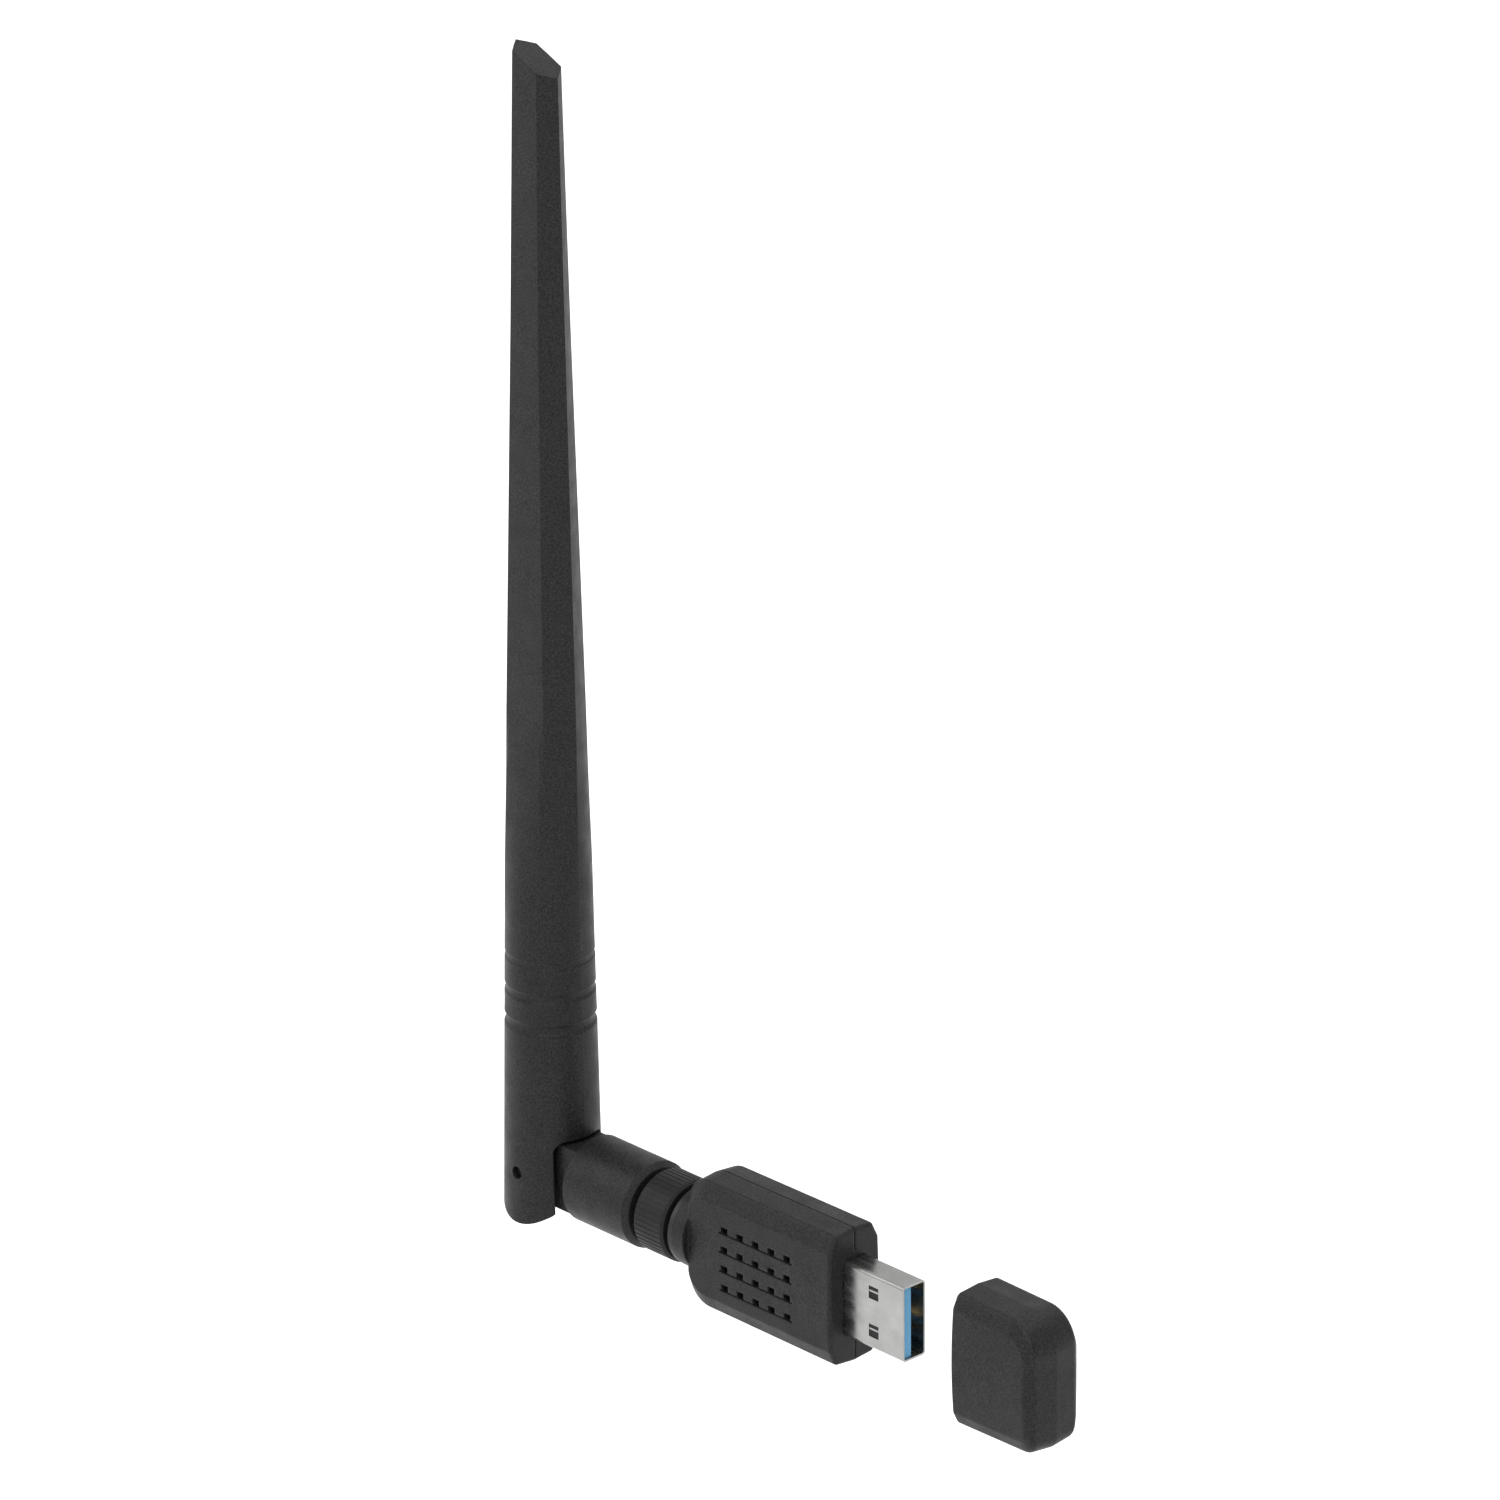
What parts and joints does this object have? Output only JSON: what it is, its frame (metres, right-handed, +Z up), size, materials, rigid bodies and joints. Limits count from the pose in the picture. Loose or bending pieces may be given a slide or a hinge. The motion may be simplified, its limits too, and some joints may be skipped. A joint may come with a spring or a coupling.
{
  "type": "usb wifi adapter",
  "caption": "Black USB wireless adapter with a hinged, swivelling screw-on rod antenna, vented body, exposed plug and a separate protective plug cap.",
  "frame": {"origin": "centre of the USB plug on the flat shoulder of the body, where the plug leaves it", "axes": "+X along the plug towards its tip, +Z up along the raised antenna, -Y out of the vented face"},
  "size_m": [0.1144, 0.0148, 0.1866],
  "materials": {
    "body_plastic": "satin black moulded ABS with fine grain",
    "antenna_plastic": "satin black moulded plastic with fine grain",
    "cap_plastic": "satin black moulded plastic with fine grain",
    "nut_plastic": "satin black moulded plastic",
    "plug_metal": "satin nickel plated steel",
    "blue_plastic": "moulded blue plastic",
    "gold_contact": "gold plated copper alloy",
    "connector_brass": "plated brass",
    "black_metal": "black plated metal",
    "board_green": "solder mask on glass epoxy",
    "chip_black": "moulded epoxy",
    "can_metal": "tinned steel",
    "ceramic": "ceramic",
    "white_plastic": "fluoropolymer",
    "cable_black": "thin coaxial cable jacket",
    "pin_metal": "black oxide steel",
    "washer_metal": "spring steel"
  },
  "bodies": {
    "adapter": {"body_shell_front": "body_plastic", "body_shell_rear": "body_plastic", "main_board": "board_green", "wifi_chip": "chip_black", "crystal": "can_metal", "chip_capacitors": "ceramic", "shield_can": "can_metal", "usb_plug_shell": "plug_metal", "usb_insulator": "blue_plastic", "usb2_contacts": "gold_contact", "usb3_contacts": "gold_contact", "jack_barrel": "connector_brass", "jack_insulator": "white_plastic", "jack_pin": "gold_contact", "jack_ring": "black_metal"},
    "coupling": {"coupling_nut": "nut_plastic", "nut_insert": "connector_brass"},
    "swivel": {"ferrule": "connector_brass", "ferrule_insulator": "white_plastic", "ferrule_socket": "gold_contact", "hinge_base": "antenna_plastic", "base_cable": "cable_black", "friction_washers": "washer_metal"},
    "antenna": {"hinge_pin": "pin_metal", "antenna_foot": "antenna_plastic", "antenna_blade": "antenna_plastic", "antenna_cable": "cable_black", "radiator_board": "board_green"},
    "cap": {"protective_cap": "cap_plastic"}
  },
  "joints": [
    {"name": "antenna_tilt", "type": "hinge", "parent": "swivel", "child": "antenna", "pos_m": [-0.0653, 0, 0], "axis": [0, 1, 0], "range_deg": [-90, 0]},
    {"name": "antenna_swivel", "type": "hinge", "parent": "adapter", "child": "swivel", "pos_m": [-0.0653, 0, 0], "axis": [1, 0, 0], "continuous": true},
    {"name": "coupling_nut_spin", "type": "hinge", "parent": "adapter", "child": "coupling", "pos_m": [-0.03775, 0, 0], "axis": [1, 0, 0], "continuous": true},
    {"name": "cap_slide", "type": "slide", "parent": "adapter", "child": "cap", "axis": [1, 0, 0], "range_m": [-0.0252, 0]}
  ]
}
